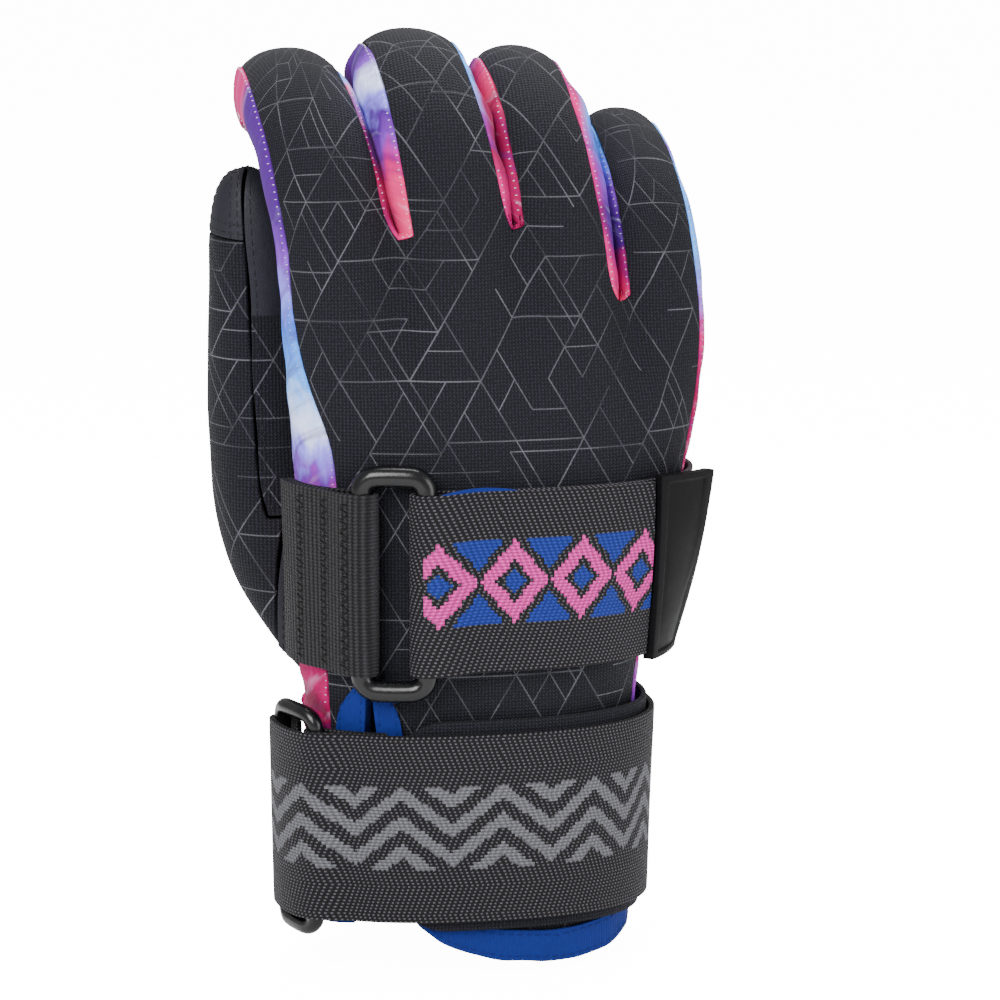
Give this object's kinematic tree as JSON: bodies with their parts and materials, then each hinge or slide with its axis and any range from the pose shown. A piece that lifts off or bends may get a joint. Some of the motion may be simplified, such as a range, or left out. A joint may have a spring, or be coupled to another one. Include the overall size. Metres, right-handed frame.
{
  "type": "water ski glove",
  "caption": "Right-hand water ski glove with curled fingers, a strap through a ring over the hand and a wide strap round the wrist.",
  "frame": {"origin": "middle of the cuff's mouth, at the height of the lowest hem of the back", "axes": "+Z along the fingers, -Y out of the back of the hand, -X towards the thumb"},
  "size_m": [0.121, 0.0833, 0.2314],
  "materials": {
    "knit_neoprene": "matt fine knit with a thin grey line print",
    "palm_leather": "matt synthetic leather",
    "printed_cloth": "soft tie-dye print of pink, purple, sky blue and white",
    "blue_binding": "folded woven tape, stitched",
    "ribbed_elastic": "ribbed along its height",
    "woven_webbing": "twill with lighter threads and a woven motif",
    "black_plastic": "satin",
    "black_rubber": "moulded, matt"
  },
  "bodies": {
    "root": {"back_panel": "knit_neoprene", "palm_panel": "palm_leather", "radial_gusset": "printed_cloth", "index_middle_gusset": "printed_cloth", "middle_ring_gusset": "printed_cloth", "ring_little_gusset": "printed_cloth", "ulnar_gusset": "printed_cloth", "thumb_back": "knit_neoprene", "thumb_palm": "palm_leather", "thumb_tip": "palm_leather", "cuff_binding": "blue_binding", "hand_elastic": "ribbed_elastic", "hand_ring": "black_plastic", "hand_strap": "woven_webbing", "pull_tab": "black_rubber", "wrist_anchor": "woven_webbing", "wrist_pad": "knit_neoprene", "wrist_ring": "black_plastic", "wrist_strap": "woven_webbing"}
  },
  "joints": []
}
